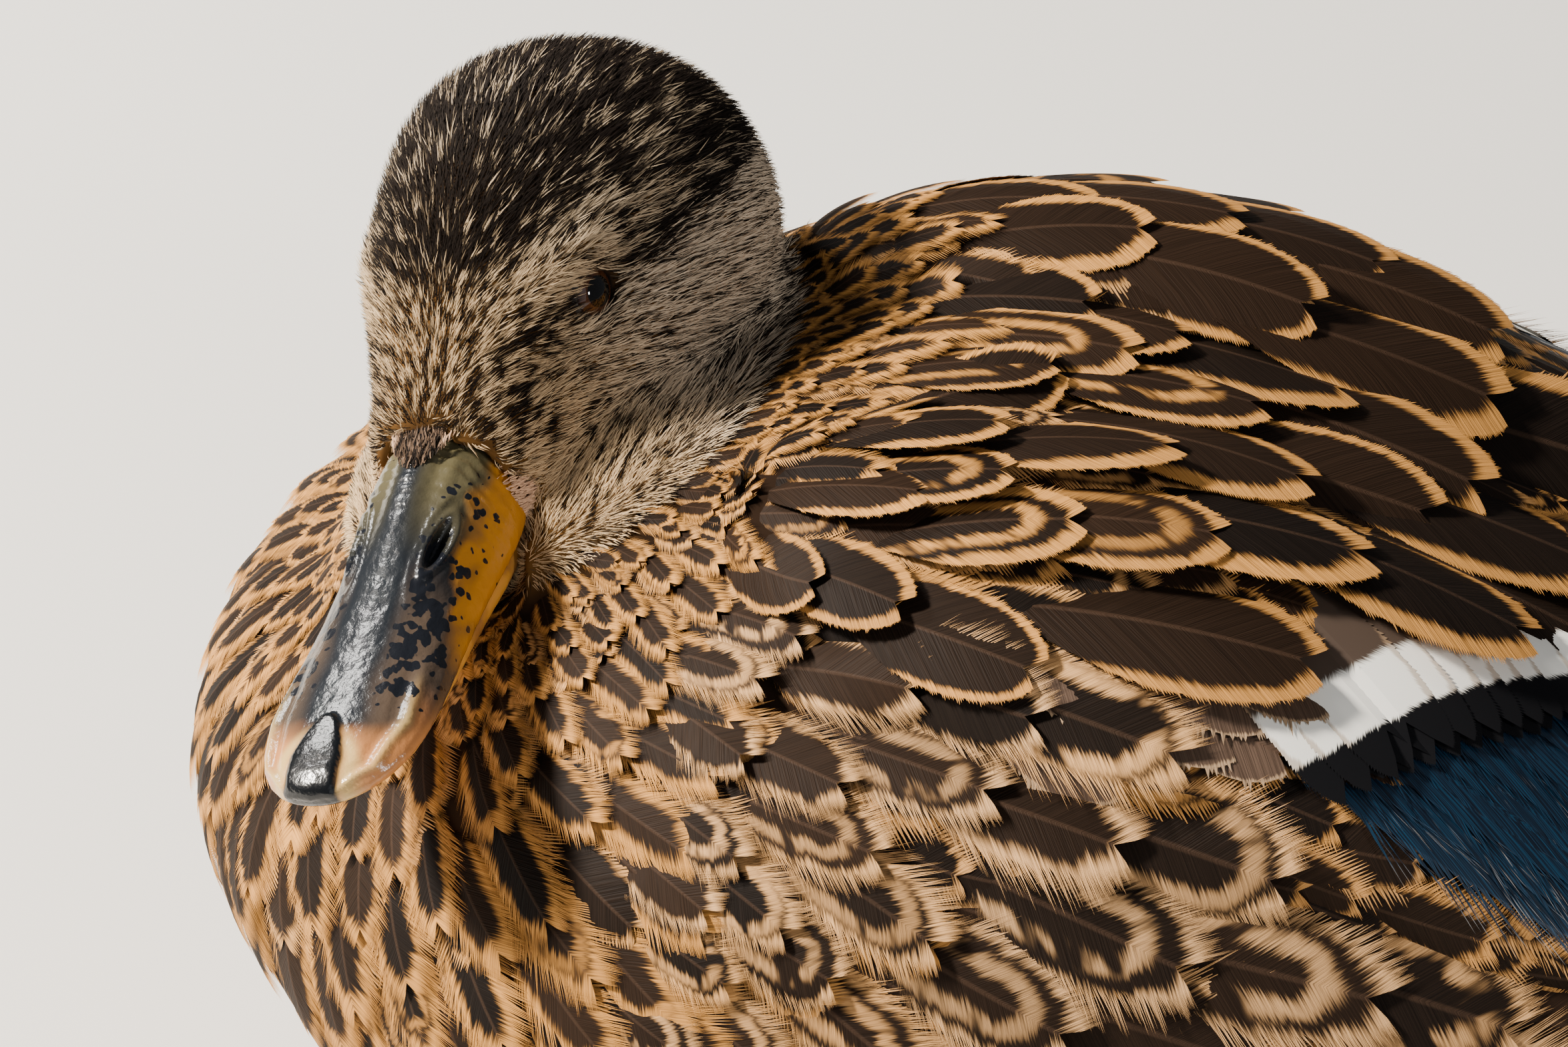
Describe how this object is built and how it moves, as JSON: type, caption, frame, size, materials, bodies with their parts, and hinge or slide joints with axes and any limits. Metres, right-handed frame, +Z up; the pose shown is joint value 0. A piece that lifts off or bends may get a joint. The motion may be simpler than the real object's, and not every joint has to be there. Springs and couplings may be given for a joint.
{
  "type": "mallard duck",
  "caption": "Life-size still model of a resting female duck on its belly, head drawn down and turned to its left, for display.",
  "frame": {"origin": "middle of the bird's bounding box, on the floor that it rests on", "axes": "+Z up, -Y the way the body faces, +X the bird's left side"},
  "size_m": [0.1826, 0.3804, 0.1652],
  "materials": {
    "trunk": "soft overlapping feathers, buff with dark brown marks",
    "neck": "short soft feathers, buff with dark streaks",
    "head": "very short fine feathers, dark crown and buff face",
    "bill_upper": "smooth glossy horn, dark with orange sides and tip",
    "bill_lower": "smooth orange horn",
    "eye_left": "wet dark brown",
    "eye_right": "wet dark brown",
    "wing_left": "large dark brown feathers with buff edges",
    "wing_right": "large dark brown feathers with buff edges",
    "primaries_left": "smooth long brown feathers",
    "primaries_right": "smooth long brown feathers",
    "tail": "stiff buff feathers with brown marks",
    "foot_left": "leathery orange skin",
    "foot_right": "leathery orange skin"
  },
  "bodies": {
    "root": {"trunk": "trunk", "neck": "neck", "head": "head", "bill_upper": "bill_upper", "bill_lower": "bill_lower", "eye_left": "eye_left", "eye_right": "eye_right", "wing_left": "wing_left", "wing_right": "wing_right", "primaries_left": "primaries_left", "primaries_right": "primaries_right", "tail": "tail", "foot_left": "foot_left", "foot_right": "foot_right"}
  },
  "joints": []
}
